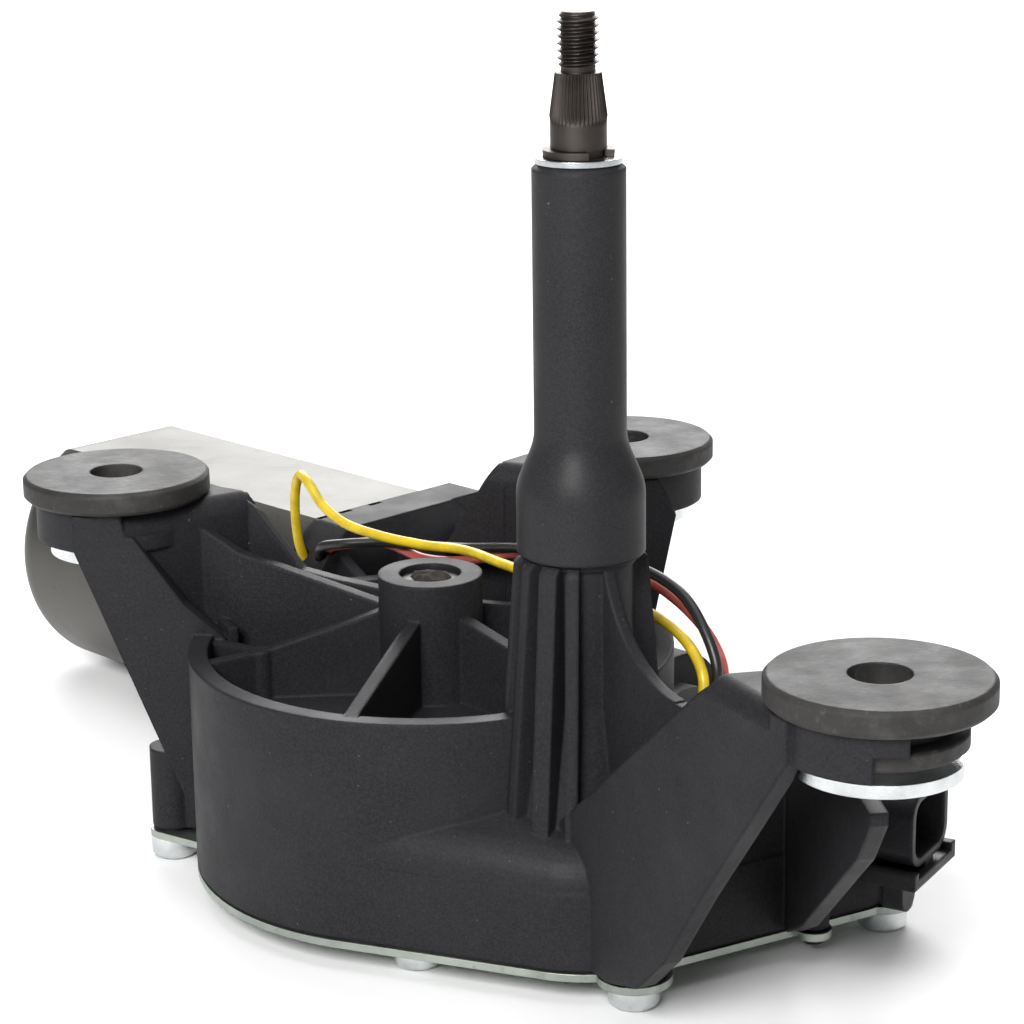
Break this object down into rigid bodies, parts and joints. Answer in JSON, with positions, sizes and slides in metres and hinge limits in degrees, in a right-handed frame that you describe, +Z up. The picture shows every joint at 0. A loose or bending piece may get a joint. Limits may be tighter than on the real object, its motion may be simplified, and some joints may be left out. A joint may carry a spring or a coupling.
{
  "type": "rear wiper motor",
  "caption": "Rear wiper motor: ribbed black gear housing on three rubber mounts, long sleeved spindle, steel motor can, side connector and a working worm drive.",
  "frame": {"origin": "on the spindle axis, level with the tops of the rubber mounts", "axes": "+Z up along the spindle toward its threaded tip, +Y away from the connector side toward the motor, +X to the right seen from the front mount side"},
  "size_m": [0.1616, 0.2394, 0.1416],
  "materials": {
    "housing_plastic": "glass filled moulding, fine grain",
    "sleeve_plastic": "smooth moulding, satin",
    "connector_plastic": "moulded",
    "gear_plastic": "natural acetal, greased",
    "brown_plastic": "moulded",
    "mount_rubber": "dull, scuffed",
    "seal_rubber": "soft black rubber",
    "plate_steel": "zinc plated sheet, pale greenish grey",
    "zinc_steel": "bright zinc plate",
    "black_steel": "dark phosphate",
    "pressed_steel": "pressed, oiled",
    "ground_steel": "ground",
    "core_steel": "stacked laminations, varnished",
    "can_steel": "deep drawn, dull plating, handled",
    "copper": "enamelled copper",
    "bronze": "sintered, oil filled",
    "contact_brass": "tinned brass",
    "magnet": "ferrite and carbon, matt",
    "wire_yellow": "extruded insulation",
    "wire_black": "extruded insulation",
    "wire_red": "extruded insulation"
  },
  "bodies": {
    "frame": {"gear_housing": "housing_plastic", "cover_plate": "plate_steel", "cover_seal": "seal_rubber", "cover_screws": "zinc_steel", "spindle_sleeve": "sleeve_plastic", "upper_bush": "bronze", "lower_bush": "bronze", "spindle_seal": "seal_rubber", "spindle_washer": "zinc_steel", "lever_washer": "pressed_steel", "wheel_axle": "ground_steel", "axle_washer": "gear_plastic", "axle_clip": "pressed_steel", "motor_can": "can_steel", "field_magnets": "magnet", "rear_bearing": "bronze", "front_bearing": "bronze", "thrust_pad": "gear_plastic", "brush_holder": "brown_plastic", "carbon_brushes": "magnet", "front_grommet": "mount_rubber", "left_grommet": "mount_rubber", "rear_grommet": "mount_rubber", "mount_spacers": "zinc_steel", "connector_housing": "connector_plastic", "connector_pins": "contact_brass", "contact_plate": "contact_brass", "wire_grommet": "seal_rubber", "wire_yellow": "wire_yellow", "wire_black": "wire_black", "wire_red": "wire_red"},
    "spindle": {"output_shaft": "black_steel", "spindle_circlip": "black_steel", "output_lever": "pressed_steel", "lever_pin": "ground_steel"},
    "link": {"connecting_link": "pressed_steel"},
    "wheel": {"worm_wheel": "gear_plastic", "wheel_hub": "pressed_steel", "crank_pin": "ground_steel"},
    "armature": {"armature_shaft": "ground_steel", "worm": "ground_steel", "armature_core": "core_steel", "armature_windings": "copper", "commutator": "copper"}
  },
  "joints": [
    {"name": "armature_spin", "type": "hinge", "parent": "frame", "child": "armature", "pos_m": [0.00401, 0.05755, -0.0405], "axis": [-0.7009, 0.7133, 0], "continuous": true},
    {"name": "wheel_turn", "type": "hinge", "parent": "frame", "child": "wheel", "pos_m": [-0.023, 0.031, -0.0405], "axis": [0, 0, 1], "continuous": true},
    {"name": "spindle_swing", "type": "hinge", "parent": "frame", "child": "spindle", "pos_m": [0, 0, -0.0486], "axis": [0, 0, 1], "range_deg": [-51, 51]},
    {"name": "link_pivot", "type": "hinge", "parent": "spindle", "child": "link", "pos_m": [-0.01035, -0.00502, -0.0527], "axis": [0, 0, 1], "range_deg": [-51, 51]}
  ],
  "couplings": [
    {"joint": "wheel_turn", "follows": "armature_spin", "ratio": -0.018868},
    {"joint": "link_pivot", "follows": "spindle_swing", "ratio": -1}
  ]
}
